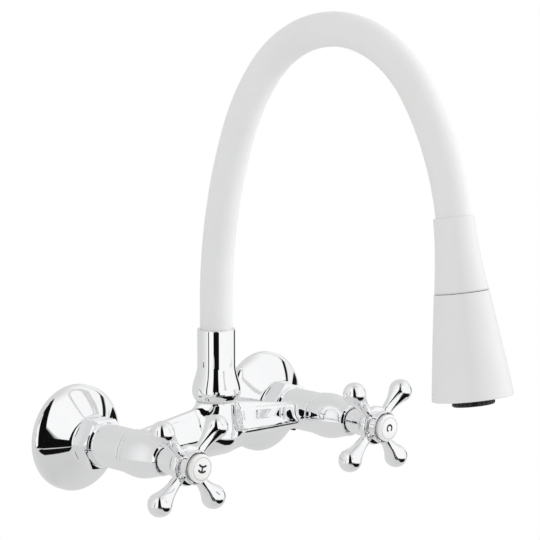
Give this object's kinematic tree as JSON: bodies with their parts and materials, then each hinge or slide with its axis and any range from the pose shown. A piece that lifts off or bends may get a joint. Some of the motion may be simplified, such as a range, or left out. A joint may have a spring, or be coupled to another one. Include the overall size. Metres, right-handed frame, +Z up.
{
  "type": "two handle kitchen faucet",
  "caption": "Wall-mounted bridge mixer tap with cross handles, domed wall flanges and a bendable white silicone gooseneck ending in a conical spray head.",
  "frame": {"origin": "on the wall face, halfway between the two inlets, at the height of the valve axes", "axes": "+X to the user's right, +Y into the wall, +Z up"},
  "size_m": [0.2126, 0.2789, 0.2809],
  "materials": {
    "chrome_plate": "mirror-bright chrome plate on cast and turned brass",
    "brass": "plain turned brass",
    "steel": "plain stainless steel",
    "white_silicone": "matt white silicone rubber",
    "white_abs": "satin white moulded ABS",
    "white_porcelain": "glossy white",
    "black_plastic": "matt black moulded plastic",
    "black_rubber": "black nitrile rubber",
    "white_ptfe": "low-friction white plastic",
    "clear_hose": "milky polyethylene tube",
    "ceramic": "polished alumina"
  },
  "bodies": {
    "root": {"bridge_body": "chrome_plate", "spout_lock_screw": "steel", "hot_wall_flange": "chrome_plate", "hot_eccentric_connector": "brass", "hot_union_gasket": "black_rubber", "hot_union_tail": "brass", "hot_union_nut": "chrome_plate", "hot_seat_seal": "black_rubber", "hot_fixed_disc": "ceramic", "hot_headwork_body": "chrome_plate", "hot_headwork_seal": "black_rubber", "hot_bonnet": "chrome_plate", "cold_wall_flange": "chrome_plate", "cold_eccentric_connector": "brass", "cold_union_gasket": "black_rubber", "cold_union_tail": "brass", "cold_union_nut": "chrome_plate", "cold_seat_seal": "black_rubber", "cold_fixed_disc": "ceramic", "cold_headwork_body": "chrome_plate", "cold_headwork_seal": "black_rubber", "cold_bonnet": "chrome_plate"},
    "hot_handle": {"hot_cross_handle": "chrome_plate", "hot_handle_screw": "steel", "hot_cap_ring": "chrome_plate", "hot_index_button": "white_porcelain", "hot_spindle": "brass", "hot_spindle_seals": "black_rubber", "hot_spindle_clip": "steel", "hot_moving_disc": "ceramic"},
    "cold_handle": {"cold_cross_handle": "chrome_plate", "cold_handle_screw": "steel", "cold_cap_ring": "chrome_plate", "cold_index_button": "white_porcelain", "cold_spindle": "brass", "cold_spindle_seals": "black_rubber", "cold_spindle_clip": "steel", "cold_moving_disc": "ceramic"},
    "spout": {"spout_collar": "chrome_plate", "swivel_seals": "black_rubber", "swivel_washer": "white_ptfe", "silicone_sleeve": "white_silicone", "gooseneck_core": "steel", "inner_hose": "clear_hose"},
    "spray_head": {"head_upper_shell": "white_abs", "head_connector": "brass", "diverter_core": "black_plastic", "stem_seal": "black_rubber", "stem_clip": "steel"},
    "mode_cone": {"head_lower_shell": "white_abs", "spray_plate": "black_plastic", "aerator_housing": "black_plastic", "aerator_insert": "black_plastic", "aerator_gasket": "black_rubber"}
  },
  "joints": [
    {"name": "hot_handle_turn", "type": "hinge", "parent": "root", "child": "hot_handle", "pos_m": [-0.075, -0.1005, 0], "axis": [0, -1, 0], "range_deg": [0, 90]},
    {"name": "cold_handle_turn", "type": "hinge", "parent": "root", "child": "cold_handle", "pos_m": [0.075, -0.1005, 0], "axis": [0, -1, 0], "range_deg": [-90, 0]},
    {"name": "spout_swivel", "type": "hinge", "parent": "root", "child": "spout", "pos_m": [0, -0.0417, 0.0174], "axis": [0, 0, 1], "range_deg": [-90, 90]},
    {"name": "spout_bend", "type": "hinge", "parent": "spout", "child": "spray_head", "pos_m": [0, -0.14035, 0.23998], "axis": [1, 0, 0], "range_deg": [-40, 12], "deforming": ["silicone_sleeve", "gooseneck_core", "inner_hose"]},
    {"name": "spray_mode_turn", "type": "hinge", "parent": "spray_head", "child": "mode_cone", "pos_m": [0, -0.22954, 0.13479], "axis": [0, -0.1582, -0.9874], "range_deg": [0, 90]}
  ]
}
